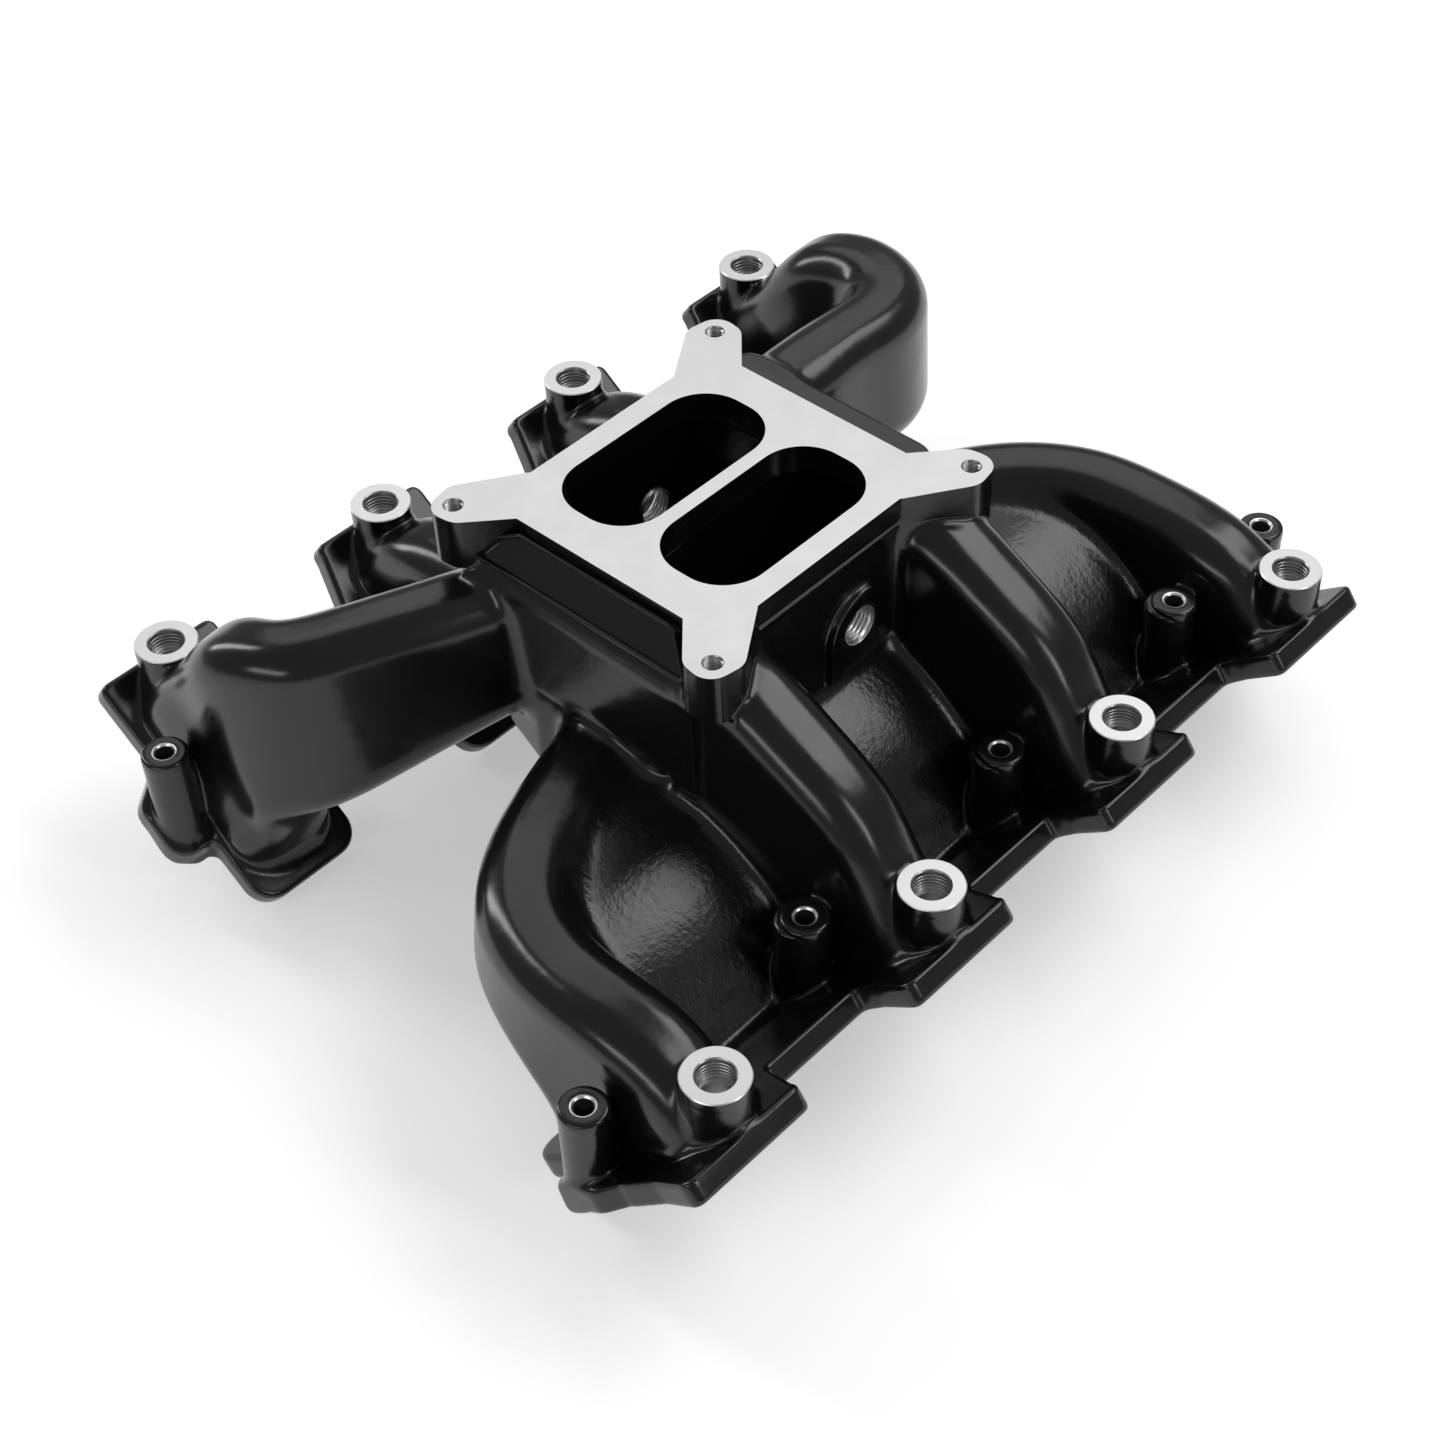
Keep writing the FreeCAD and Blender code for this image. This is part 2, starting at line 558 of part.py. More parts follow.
def build():
    nodes = {}
    layout = runner_layout()
    outers = {name: runner_solid(pairs, 0) for name, pairs in layout.items()}
    inners = {name: runner_solid(pairs, WALL) for name, pairs in layout.items()}
    body = [plenum_outer(), lower_outer()]
    pad = pad_solid()
    panel = front_panel_solid().cut(pad)

    bung_bores = [bung_bore(y) for y in RIGHT_PORTS]
    all_bores = bung_bores + [turned(bore) for bore in bung_bores]
    shafts = [boss_shaft(y) for y in boss_ys()]
    all_shafts = shafts + [turned(shaft) for shaft in shafts]

    flange = flange_solid([port_prism(y, 0, -1, FLANGE_THICKNESS + 1, PORT_CORNER_R)
                           for y in RIGHT_PORTS], shafts)
    groove_top = FLANGE_THICKNESS - SEAL_GROOVE_DEPTH
    for port_y in RIGHT_PORTS:
        flange = flange.cut(seal_ring(port_y, groove_top, FLANGE_THICKNESS + 1))
    for bore in bung_bores:
        flange = flange.cut(bore)
    flanges = {"right": biggest(flange), "left": turned(biggest(flange))}

    around = body + [pad, panel] + list(flanges.values()) + all_bores + all_shafts
    crossing = {"runner_l2": [outers["runner_l1"]], "runner_l3": [outers["runner_l4"]]}
    for name, outer in outers.items():
        solid = trimmed(outer.cut(inners[name]), around + crossing.get(name, []))
        nodes[name] = biggest(solid)

    nodes["carb_pad"] = pad
    nodes["front_panel"] = panel
    bores = list(inners.values()) + [pipe_plug(1), pipe_plug(-1)]
    nodes["plenum_upper"] = plenum_upper_solid(bores)
    nodes["plenum_lower"] = plenum_lower_solid(list(inners.values()))
    nodes["plenum_divider"] = divider_solid()
    nodes["upper_floor"] = upper_floor_solid()
    nodes["front_passage_wall"] = passage_wall(WELL_FRONT_Y, WELL_FRONT_Y + WALL)
    nodes["rear_passage_wall"] = passage_wall(WELL_BACK_Y - WALL, WELL_BACK_Y)
    nodes["pipe_boss_right"] = pipe_boss_solid(1)
    nodes["pipe_boss_left"] = pipe_boss_solid(-1)
    nodes["pipe_rib_right"] = pipe_rib_solid(1)
    nodes["pipe_rib_left"] = pipe_rib_solid(-1)
    nodes["flange_right"] = flanges["right"]
    nodes["flange_left"] = flanges["left"]

    runner_outers = list(outers.values())
    obstacles = runner_outers + body + list(flanges.values()) + all_shafts
    for name, blank in web_blanks().items():
        nodes[name] = biggest(trimmed(blank, obstacles))

    for i, port_y in enumerate(RIGHT_PORTS):
        below = slope_prism([(-40, port_y - 40), (-40, port_y + 40), (160, port_y + 40),
                             (160, port_y - 40)], [1] * 4, 0, 90)
        bung = bung_solid(port_y, [below, outers["runner_r%d" % (i + 1)]])
        nodes["bung_r%d" % (i + 1)] = bung
        left_outer = turned(outers["runner_l%d" % (4 - i)])
        nodes["bung_l%d" % (4 - i)] = turned(bung_solid(port_y, [below, left_outer]))
        seal = seal_ring(port_y, groove_top, groove_top + SEAL_HEIGHT)
        nodes["seal_r%d" % (i + 1)] = seal
        nodes["seal_l%d" % (4 - i)] = turned(seal)

    for i, boss_y in enumerate(boss_ys()):
        boss = shafts[i].cut(boss_hole(boss_y))
        nodes["boss_r%d" % (i + 1)] = boss
        nodes["boss_l%d" % (5 - i)] = turned(boss)
    return nodes


os.makedirs("parts", exist_ok=True)
for node_name, node_shape in build().items():
    node_shape.exportStep("parts/" + node_name + ".step")
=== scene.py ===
import json
import math

import bpy
import numpy as np
import openvdb
from mathutils import Matrix, Vector


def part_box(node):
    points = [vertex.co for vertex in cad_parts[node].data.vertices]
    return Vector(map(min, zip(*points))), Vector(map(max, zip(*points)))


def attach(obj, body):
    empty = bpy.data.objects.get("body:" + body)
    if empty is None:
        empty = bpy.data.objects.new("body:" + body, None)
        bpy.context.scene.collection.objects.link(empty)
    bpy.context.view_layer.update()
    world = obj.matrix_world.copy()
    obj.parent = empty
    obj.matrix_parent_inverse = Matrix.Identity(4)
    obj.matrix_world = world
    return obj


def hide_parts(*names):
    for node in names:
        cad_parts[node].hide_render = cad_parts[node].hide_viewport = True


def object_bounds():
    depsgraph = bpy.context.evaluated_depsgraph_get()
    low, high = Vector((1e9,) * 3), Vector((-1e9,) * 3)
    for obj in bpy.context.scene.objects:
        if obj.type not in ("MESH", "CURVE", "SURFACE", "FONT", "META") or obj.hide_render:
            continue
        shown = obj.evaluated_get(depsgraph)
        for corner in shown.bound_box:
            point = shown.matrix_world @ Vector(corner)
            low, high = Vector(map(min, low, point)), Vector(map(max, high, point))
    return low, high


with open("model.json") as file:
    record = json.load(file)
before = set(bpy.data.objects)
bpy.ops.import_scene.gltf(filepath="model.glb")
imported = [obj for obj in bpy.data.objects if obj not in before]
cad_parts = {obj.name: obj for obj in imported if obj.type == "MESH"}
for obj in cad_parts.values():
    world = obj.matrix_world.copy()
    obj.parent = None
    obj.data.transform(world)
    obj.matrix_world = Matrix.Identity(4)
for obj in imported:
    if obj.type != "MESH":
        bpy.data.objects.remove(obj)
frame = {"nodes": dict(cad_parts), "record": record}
CAD_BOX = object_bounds()

# V8 intake manifold: one casting, skinned over its CAD nodes, with its machined faces, bungs,
# bosses, threads and seals as crisp pieces of their own. Everything is in metres.

MM = 0.001

# Casting skin
VOXEL = 0.85 * MM
BAND = 11
SMOOTHING = 3
FLANGE_SMOOTHING = 2
RUNNER_FILLET = 7 * MM
WEB_FILLET = 7 * MM
FLANGE_FILLET = 5 * MM
BOSS_FILLET = 3.5 * MM
PAD_FILLET = 3.5 * MM
RIB_FILLET = 2 * MM
PAD_INSET = 0.3 * MM

# Bungs and bosses
BUNG_R = 12.5 * MM
BUNG_GROOVES = (2.0 * MM, 3.6 * MM, 5.2 * MM, 6.8 * MM)
GROOVE_CUT = 0.22 * MM
GROOVE_WIDTH = 0.38 * MM
BUNG_CUT = 1.5 * MM
BUNG_BORE_R = 7.0 * MM
BUNG_BORE_DEPTH = 9.0 * MM
BUNG_TIP_R = 5.0 * MM
BUNG_TIP_DEPTH = 30.0 * MM
BOSS_CUT = 2.5 * MM
BOSS_HOLE_R = 3.75 * MM
COLLAR_GROWTH = 2.4 * MM
COLLAR_DROP = 1.5 * MM

# Threads
EAR_TAP_DEPTH = 17.0 * MM
EAR_PITCH = 1.25 * MM
PIPE_DEPTH = 8.5 * MM
PIPE_PITCH = 1.8 * MM

# Camera
CAMERA_PLACE = Vector((0.52593, -0.53890, 0.60940))
CAMERA_AZIMUTH = math.radians(42.891)
CAMERA_ELEVATION = math.radians(45.354)
CAMERA_ROLL = math.radians(-1.375)
CAMERA_LENS = 64.38
CAMERA_SHIFT = (-0.03323, 0.03447)

NODES = frame["nodes"]
CHAMBER = ("plenum_upper", "plenum_lower", "plenum_divider", "upper_floor",
           "front_passage_wall", "rear_passage_wall")
RUNNERS = tuple(n for n in sorted(NODES) if n.startswith("runner_"))
WEBS = tuple(n for n in sorted(NODES) if n.startswith("web_"))
FLANGES = ("flange_left", "flange_right")
BOSSES = tuple(n for n in sorted(NODES) if n.startswith("boss_"))
BUNGS = tuple(n for n in sorted(NODES) if n.startswith("bung_"))
SEALS = tuple(n for n in sorted(NODES) if n.startswith("seal_"))
PIPE_BOSSES = ("pipe_boss_left", "pipe_boss_right")
PIPE_RIBS = tuple(n for n in sorted(NODES) if n.startswith("pipe_rib_"))


# ---------------------------------------------------------------- materials

def new_material(name):
    material = bpy.data.materials.new(name)
    material.use_nodes = True
    tree = material.node_tree
    return material, tree, tree.nodes["Principled BSDF"]


def link(tree, source, target):
    tree.links.new(source, target)


def noise(tree, scale, detail, roughness=0.5):
    """Noise in object space; scale counts features per metre."""
    place = tree.nodes.new("ShaderNodeTexCoord")
    node = tree.nodes.new("ShaderNodeTexNoise")
    node.inputs["Scale"].default_value = scale
    node.inputs["Detail"].default_value = detail
    node.inputs["Roughness"].default_value = roughness
    link(tree, place.outputs["Object"], node.inputs["Vector"])
    return node.outputs["Fac"]


def remap(tree, value, low, high):
    node = tree.nodes.new("ShaderNodeMapRange")
    node.inputs["To Min"].default_value = low
    node.inputs["To Max"].default_value = high
    link(tree, value, node.inputs["Value"])
    return node.outputs["Result"]


def bump(tree, height, distance, strength, before=None):
    node = tree.nodes.new("ShaderNodeBump")
    node.inputs["Distance"].default_value = distance
    node.inputs["Strength"].default_value = strength
    link(tree, height, node.inputs["Height"])
    if before is not None:
        link(tree, before, node.inputs["Normal"])
    return node.outputs["Normal"]


def powder_coat(name, grain):
    """Glossy black powder coat over cast aluminium; grain is how deep the cast texture shows."""
    material, tree, shader = new_material(name)
    shader.inputs["Base Color"].default_value = (0.004, 0.004, 0.0043, 1)
    shader.inputs["Specular IOR Level"].default_value = 0.55
    link(tree, remap(tree, noise(tree, 70, 4), 0.15, 0.26), shader.inputs["Roughness"])
    waves = bump(tree, noise(tree, 95, 2), 0.5 * MM, 0.30)
    peel = bump(tree, noise(tree, 420, 3, 0.6), grain, 1.0, waves)
    link(tree, peel, shader.inputs["Normal"])
    return material


def machined_face():
    """Milled aluminium with faint straight cutter marks."""
    material, tree, shader = new_material("machined_face")
    shader.inputs["Metallic"].default_value = 1.0
    place = tree.nodes.new("ShaderNodeTexCoord")
    stretch = tree.nodes.new("ShaderNodeMapping")
    stretch.inputs["Scale"].default_value = (2600, 60, 60)
    link(tree, place.outputs["Object"], stretch.inputs["Vector"])
    marks = tree.nodes.new("ShaderNodeTexNoise")
    marks.inputs["Scale"].default_value = 1.0
    marks.inputs["Detail"].default_value = 3.0
    link(tree, stretch.outputs["Vector"], marks.inputs["Vector"])
    tint = tree.nodes.new("ShaderNodeMix")
    tint.data_type = "RGBA"
    tint.inputs["A"].default_value = (0.70, 0.70, 0.71, 1)
    tint.inputs["B"].default_value = (0.82, 0.82, 0.83, 1)
    link(tree, noise(tree, 60, 3), tint.inputs["Factor"])
    link(tree, tint.outputs["Result"], shader.inputs["Base Color"])
    link(tree, remap(tree, marks.outputs["Fac"], 0.30, 0.42), shader.inputs["Roughness"])
    link(tree, bump(tree, marks.outputs["Fac"], 0.02 * MM, 0.35), shader.inputs["Normal"])
    return material


def turned_metal(name, shade, rings, depth):
    """Turned aluminium: fine circles round the piece's own axis."""
    material, tree, shader = new_material(name)
    shader.inputs["Metallic"].default_value = 1.0
    shader.inputs["Base Color"].default_value = (shade, shade, shade * 1.01, 1)
    place = tree.nodes.new("ShaderNodeTexCoord")
    flat = tree.nodes.new("ShaderNodeVectorMath")
    flat.operation = "MULTIPLY"
    flat.inputs[1].default_value = (1, 1, 0)
    link(tree, place.outputs["Object"], flat.inputs[0])
    radius = tree.nodes.new("ShaderNodeVectorMath")
    radius.operation = "LENGTH"
    link(tree, flat.outputs["Vector"], radius.inputs[0])
    circles = tree.nodes.new("ShaderNodeMath")
    circles.operation = "MULTIPLY"
    circles.inputs[1].default_value = rings
    link(tree, radius.outputs["Value"], circles.inputs[0])
    wave = tree.nodes.new("ShaderNodeMath")
    wave.operation = "SINE"
    link(tree, circles.outputs["Value"], wave.inputs[0])
    link(tree, remap(tree, noise(tree, 300, 3), 0.28, 0.40), shader.inputs["Roughness"])
    link(tree, bump(tree, wave.outputs["Value"], depth, 0.3), shader.inputs["Normal"])
    return material


def seal_rubber():
    material, tree, shader = new_material("seal_rubber")
    shader.inputs["Base Color"].default_value = (0.02, 0.02, 0.022, 1)
    shader.inputs["Sheen Weight"].default_value = 0.1
    link(tree, remap(tree, noise(tree, 250, 4), 0.55, 0.75), shader.inputs["Roughness"])
    link(tree, bump(tree, noise(tree, 1500, 2), 0.05 * MM, 0.4), shader.inputs["Normal"])
    return material


def paper_floor():
    material, _, shader = new_material("paper_floor")
    shader.inputs["Base Color"].default_value = (0.93, 0.93, 0.93, 1)
    shader.inputs["Roughness"].default_value = 0.9
    shader.inputs["Emission Color"].default_value = (1, 1, 1, 1)
    shader.inputs["Emission Strength"].default_value = 0.40
    return material


COAT = powder_coat("black_coat", 0.02 * MM)
COAT_GRAINY = powder_coat("black_coat_grainy", 0.17 * MM)
MILLED = machined_face()
TURNED = turned_metal("turned_ring", 0.82, 9000, 0.004 * MM)
# Cut metal for bores and tapped holes: the turned aluminium darkened to 0.42 grey, painted shade
# inside the holes.
SHADED_CUT_METAL = turned_metal("cut_bore_painted_shade", 0.42, 3000, 0.004 * MM)
THREAD = turned_metal("cut_thread", 0.78, 3000, 0.004 * MM)
RUBBER = seal_rubber()


# ---------------------------------------------------------------- casting skin

def mesh_arrays(mesh):
    """Vertex positions and triangles of a mesh."""
    mesh.calc_loop_triangles()
    points = np.empty(len(mesh.vertices) * 3, np.float32)
    mesh.vertices.foreach_get("co", points)
    triangles = np.empty(len(mesh.loop_triangles) * 3, np.int32)
    mesh.loop_triangles.foreach_get("vertices", triangles)
    return points.reshape(-1, 3), triangles.reshape(-1, 3).astype(np.uint32)


class Casting:
    """Signed distance to the whole casting on a regular grid, with the nearest node's number."""

    def __init__(self, low, high):
        margin = BAND + 2
        self.first = np.floor(np.array(low) / VOXEL).astype(int) - margin
        last = np.ceil(np.array(high) / VOXEL).astype(int) + margin
        self.shape = last - self.first + 1
        self.far = BAND * VOXEL
        self.field = np.full(self.shape, self.far, np.float32)
        self.nearest = np.full(self.shape, self.far, np.float32)
        self.label = np.zeros(self.shape, np.int16)
        self.names = []

    def window(self, low, high):
        """Slices of the grid that cover a box."""
        start = np.floor(np.array(low) / VOXEL).astype(int) - self.first
        stop = np.ceil(np.array(high) / VOXEL).astype(int) - self.first + 1
        start = np.clip(start, 0, self.shape)
        stop = np.clip(stop, 0, self.shape)
        return tuple(slice(a, b) for a, b in zip(start, stop))

    def places(self, window):
        """Coordinates of a window's points, as three arrays that broadcast."""
        axes = [(np.arange(s.start, s.stop) + f) * VOXEL for s, f in zip(window, self.first)]
        return np.meshgrid(*axes, indexing="ij", sparse=True)

    def node_distance(self, name, reach):
        """Signed distance round one CAD node, and the window it covers."""
        points, triangles = mesh_arrays(NODES[name].data)
        grid = openvdb.FloatGrid.createLevelSetFromPolygons(
            points, triangles=triangles,
            transform=openvdb.createLinearTransform(VOXEL), halfWidth=BAND)
        window = self.window(points.min(0) - reach, points.max(0) + reach)
        distance = np.empty([s.stop - s.start for s in window], np.float32)
        corner = tuple(int(s.start + f) for s, f in zip(window, self.first))
        grid.copyToArray(distance, ijk=corner)
        return distance, window

    def claim(self, name, distance, window):
        """Marks the points of a window that lie nearest to this node."""
        self.names.append(name)
        nearest = self.nearest[window]
        closer = distance < nearest
        nearest[closer] = distance[closer]
        self.label[window][closer] = len(self.names) - 1

    def add(self, name, fillet=0.0, inset=0.0, cut=None, rounds=0):
        """Joins a CAD node to the casting, with a fillet of about that size where they meet."""
        distance, window = self.node_distance(name, self.far)
        distance = blurred(distance, rounds) + inset
        if cut is not None:
            distance = np.maximum(distance, cut(*self.places(window)).astype(np.float32))
        self.claim(name, distance, window)
        self.field[window] = joined(self.field[window], distance, fillet)

    def add_shape(self, low, high, shape, fillet):
        window = self.window(low, high)
        distance = shape(*self.places(window)).astype(np.float32)
        self.field[window] = joined(self.field[window], distance, fillet)

    def carve(self, low, high, shape):
        window = self.window(low, high)
        distance = shape(*self.places(window)).astype(np.float32)
        self.field[window] = np.maximum(self.field[window], -distance)

    def trim(self, low, high):
        """Cuts off whatever a fillet pushes past a box."""
        axes = [(np.arange(n) + f) * VOXEL for n, f in zip(self.shape, self.first)]
        for axis, places in enumerate(axes):
            past = np.maximum(places - high[axis], low[axis] - places).astype(np.float32)
            shape = [1, 1, 1]
            shape[axis] = len(past)
            self.field = np.maximum(self.field, past.reshape(shape))

    def smooth(self, rounds):
        self.field = blurred(self.field, rounds)

    def surface(self):
        grid = openvdb.FloatGrid(self.far)
        grid.copyFromArray(self.field, ijk=tuple(int(v) for v in self.first), tolerance=0.0)
        grid.transform = openvdb.createLinearTransform(VOXEL)
        points, quads = grid.convertToQuads(0.0)
        return points, quads.astype(np.int64)

    def sample(self, field, points):
        """Field values at points, by trilinear interpolation."""
        place = points / VOXEL - self.first
        place = np.clip(place, 0, self.shape - 1.001)
        base = np.floor(place).astype(np.int64)
        part = place - base
        total = np.zeros(len(points))
        for corner in np.ndindex(2, 2, 2):
            weight = np.ones(len(points))
            for axis in range(3):
                weight *= part[:, axis] if corner[axis] else 1 - part[:, axis]
            index = base + corner
            total += weight * field[index[:, 0], index[:, 1], index[:, 2]]
        return total

    def normals(self, points):
        step = 0.8 * VOXEL
        gradient = np.empty((len(points), 3))
        for axis in range(3):
            shift = np.zeros(3)
            shift[axis] = step
            gradient[:, axis] = (self.sample(self.field, points + shift)
                                 - self.sample(self.field, points - shift))
        length = np.linalg.norm(gradient, axis=1)
        length[length == 0] = 1
        return gradient / length[:, None]


def blurred(field, rounds):
    """Averages each point with its neighbours, which rounds edges off."""
    for _ in range(rounds):
        for axis in range(3):
            ahead = np.roll(field, 1, axis)
            behind = np.roll(field, -1, axis)
            field = (0.25 * ahead + 0.5 * field + 0.25 * behind).astype(np.float32)
    return field


def joined(a, b, fillet):
    """Union of two distance fields, rounded where both are near."""
    if fillet <= 0:
        return np.minimum(a, b)
    mix = np.clip(0.5 + 0.5 * (b - a) / fillet, 0, 1)
    return b * (1 - mix) + a * mix - fillet * mix * (1 - mix)


def centre_of(name):
    low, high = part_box(name)
    return (low + high) / 2


def outward(name):
    """+1 for the right bank, -1 for the left bank."""
    return 1 if centre_of(name).x > 0 else -1


def below(level):
    return lambda x, y, z: z - level + 0 * x + 0 * y


def upright_cylinder(cx, cy, radius, low, high):
    def distance(x, y, z):
        round_part = np.hypot(x - cx, y - cy) - radius
        return np.maximum(round_part, np.maximum(z - high, low - z))
    return distance


def collar(cx, cy, radius, top, side):
    """Thickening round a boss, full on its uphill side and fading out downhill."""
    def distance(x, y, z):
        uphill = np.clip(0.7 - side * (x - cx) / radius, 0, 1)
        across = np.hypot(x - cx, y - cy) - radius + 0.4 * MM
        return np.maximum(across - (COLLAR_GROWTH + 0.4 * MM) * uphill, z - top)
    return distance


def build_casting():
    low, high = CAD_BOX
    casting = Casting(low, high)
    for name in CHAMBER:
        casting.add(name)
    casting.add("front_panel")
    for name in RUNNERS:
        casting.add(name, RUNNER_FILLET)
    for name in WEBS:
        casting.add(name, WEB_FILLET)
    for name in PIPE_BOSSES:
        casting.add(name)
    for name in BOSSES:
        add_boss(casting, name)
    casting.smooth(SMOOTHING)
    for name in PIPE_RIBS:
        casting.add(name, RIB_FILLET)
    for name in FLANGES:
        casting.add(name, FLANGE_FILLET, rounds=FLANGE_SMOOTHING)
    for name in BUNGS:
        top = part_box(name)[1].z
        casting.add(name, BOSS_FILLET, 0, below(top - BUNG_CUT))
    casting.add("carb_pad", PAD_FILLET, PAD_INSET)
    casting.trim(low, high)
    for name in BOSSES:
        bore_boss(casting, name)
    for name in BUNGS:
        bore_bung(casting, name)
    return casting


def add_boss(casting, name):
    low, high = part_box(name)
    centre = centre_of(name)
    radius = (high.y - low.y) / 2
    casting.add(name, BOSS_FILLET, 0, below(high.z - BOSS_CUT))
    if name[-1] in "234":
        reach = radius + 6 * MM
        casting.add_shape((centre.x - reach, centre.y - reach, low.z + 4 * MM),
                          (centre.x + reach, centre.y + reach, high.z + 2 * MM),
                          collar(centre.x, centre.y, radius,
                                 high.z - COLLAR_DROP, outward(name)), 0.8 * MM)


def bore_boss(casting, name):
    low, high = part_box(name)
    centre = centre_of(name)
    reach = BOSS_HOLE_R + 3 * MM
    casting.carve((centre.x - reach, centre.y - reach, low.z - 6 * MM),
                  (centre.x + reach, centre.y + reach, high.z + 4 * MM),
                  upright_cylinder(centre.x, centre.y, BOSS_HOLE_R + 0.5 * MM,
                                   low.z - 8 * MM, high.z + 8 * MM))


def bore_bung(casting, name):
    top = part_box(name)[1].z
    x, y = bung_axis(name)
    reach = BUNG_BORE_R + 3 * MM
    box = ((x - reach, y - reach, top - 40 * MM), (x + reach, y + reach, top + 4 * MM))
    casting.carve(*box, upright_cylinder(x, y, BUNG_BORE_R + 0.8 * MM,
                                         top - BUNG_BORE_DEPTH - 0.8 * MM, top + 8 * MM))
    casting.carve(*box, upright_cylinder(x, y, BUNG_TIP_R + 0.6 * MM,
                                         top - BUNG_TIP_DEPTH - 4 * MM, top))


def bung_axis(name):
    """Axis of a bung, from the mount of its injector bore."""
    x, y, _ = mount(name.replace("bung", "injector"))["pos_m"]
    return x, y


def mesh_piece(name, points, faces, normals, materials):
    mesh = bpy.data.meshes.new(name)
    mesh.vertices.add(len(points))
    mesh.vertices.foreach_set("co", np.asarray(points, np.float32).ravel())
    mesh.loops.add(faces.size)
    mesh.loops.foreach_set("vertex_index", faces.astype(np.int32).ravel())
    mesh.polygons.add(len(faces))
    mesh.polygons.foreach_set("loop_start",
                              np.arange(0, faces.size, faces.shape[1], dtype=np.int32))
    mesh.update(calc_edges=True)
    mesh.polygons.foreach_set("use_smooth", np.ones(len(faces), bool))
    for material in materials:
        mesh.materials.append(material)
    mesh.normals_split_custom_set_from_vertices(normals.tolist())
    piece = bpy.data.objects.new(name, mesh)
    bpy.context.scene.collection.objects.link(piece)
    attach(piece, "root")
    return piece


def skin_pieces(casting):
    """Splits the casting's surface between the CAD nodes it lies nearest to."""
    points, quads = casting.surface()
    normals = casting.normals(points)
    middle = points[quads].mean(axis=1)
    index = np.rint(middle / VOXEL - casting.first).astype(int)
    owner = casting.label[index[:, 0], index[:, 1], index[:, 2]]
    pad = casting.names.index("carb_pad")
    pad_depth, window = casting.node_distance("carb_pad", casting.far)
    whole = np.full(casting.shape, casting.far, np.float32)
    whole[window] = pad_depth
    hidden = (owner == pad) & (casting.sample(whole, middle) < -0.12 * MM)
    for number, name in enumerate(casting.names):
        mine = quads[(owner == number) & ~hidden]
        if len(mine) == 0:
            continue
        used, inverse = np.unique(mine, return_inverse=True)
        faces = inverse.reshape(mine.shape)
        coat = COAT_GRAINY if name in WEBS else COAT
        piece = mesh_piece(name + "_skin", points[used], faces, normals[used], [coat])
        if name != "carb_pad" and name not in BUNGS and name not in BOSSES:
            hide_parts(name)


# ---------------------------------------------------------------- crisp pieces

def lathe(name, profile, bands, centre, materials, segments=96):
    """Turned piece about an upright axis. bands gives the material of each profile segment."""
    angles = np.arange(segments) * 2 * math.pi / segments
    ring = np.stack([np.cos(angles), np.sin(angles)], 1)
    points = []
    for radius, height in profile:
        points.append(np.column_stack([ring * radius, np.full(segments, height)]))
    points = np.concatenate(points)
    faces = []
    slots = []
    for row in range(len(profile) - 1):
        for i in range(segments):
            j = (i + 1) % segments
            faces.append((row * segments + i, row * segments + j,
                          (row + 1) * segments + j, (row + 1) * segments + i))
            slots.append(bands[row])
    mesh = bpy.data.meshes.new(name)
    mesh.from_pydata(points.tolist(), [], faces)
    mesh.polygons.foreach_set("material_index", slots)
    mesh.polygons.foreach_set("use_smooth", [True] * len(faces))
    mesh.set_sharp_from_angle(angle=math.radians(28))
    for material in materials:
        mesh.materials.append(material)
    piece = bpy.data.objects.new(name, mesh)
    piece.location = centre
    bpy.context.scene.collection.objects.link(piece)
    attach(piece, "root")
    return piece


def rounded_shoulder(radius, drop, size, steps=5):
    """Profile points round an outer top edge, from the side to the top."""
    points = []
    for i in range(steps + 1):
        angle = i * math.pi / 2 / steps
        points.append((radius - size + size * math.cos(angle), drop - size + size * math.sin(angle)))
    return points


def bung_ring(name):
    """Black bung side, bright machined face and a stepped bore with cutter grooves."""
    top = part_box(name)[1].z
    x, y = bung_axis(name)
    profile = [(BUNG_R - 0.3 * MM, -7 * MM), (BUNG_R + 0.06 * MM, -4 * MM),
               (BUNG_R, -0.35 * MM), (BUNG_R - 0.35 * MM, 0)]
    bands = [0, 0, 1]
    profile += [(BUNG_BORE_R + 0.5 * MM, 0), (BUNG_BORE_R, -0.5 * MM)]
    bands += [1, 2]
    for depth in BUNG_GROOVES:
        floor = depth + GROOVE_CUT
        profile += [(BUNG_BORE_R, -depth), (BUNG_BORE_R + GROOVE_CUT, -floor),
                    (BUNG_BORE_R + GROOVE_CUT, -floor - GROOVE_WIDTH),
                    (BUNG_BORE_R, -floor - GROOVE_WIDTH - GROOVE_CUT)]
        bands += [2, 2, 2, 2]
    profile += [(BUNG_BORE_R, -BUNG_BORE_DEPTH + 0.6 * MM),
                (BUNG_BORE_R - 0.6 * MM, -BUNG_BORE_DEPTH),
                (BUNG_TIP_R + 0.4 * MM, -BUNG_BORE_DEPTH),
                (BUNG_TIP_R, -BUNG_BORE_DEPTH - 0.4 * MM), (BUNG_TIP_R, -BUNG_TIP_DEPTH)]
    bands += [2, 2, 1, 2, 2]
    # The bore bands take the darkened cut metal: painted shade down the bore.
    piece = lathe(name + "_ring", profile, bands, (x, y, top), [COAT, TURNED, SHADED_CUT_METAL])
    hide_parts(name)


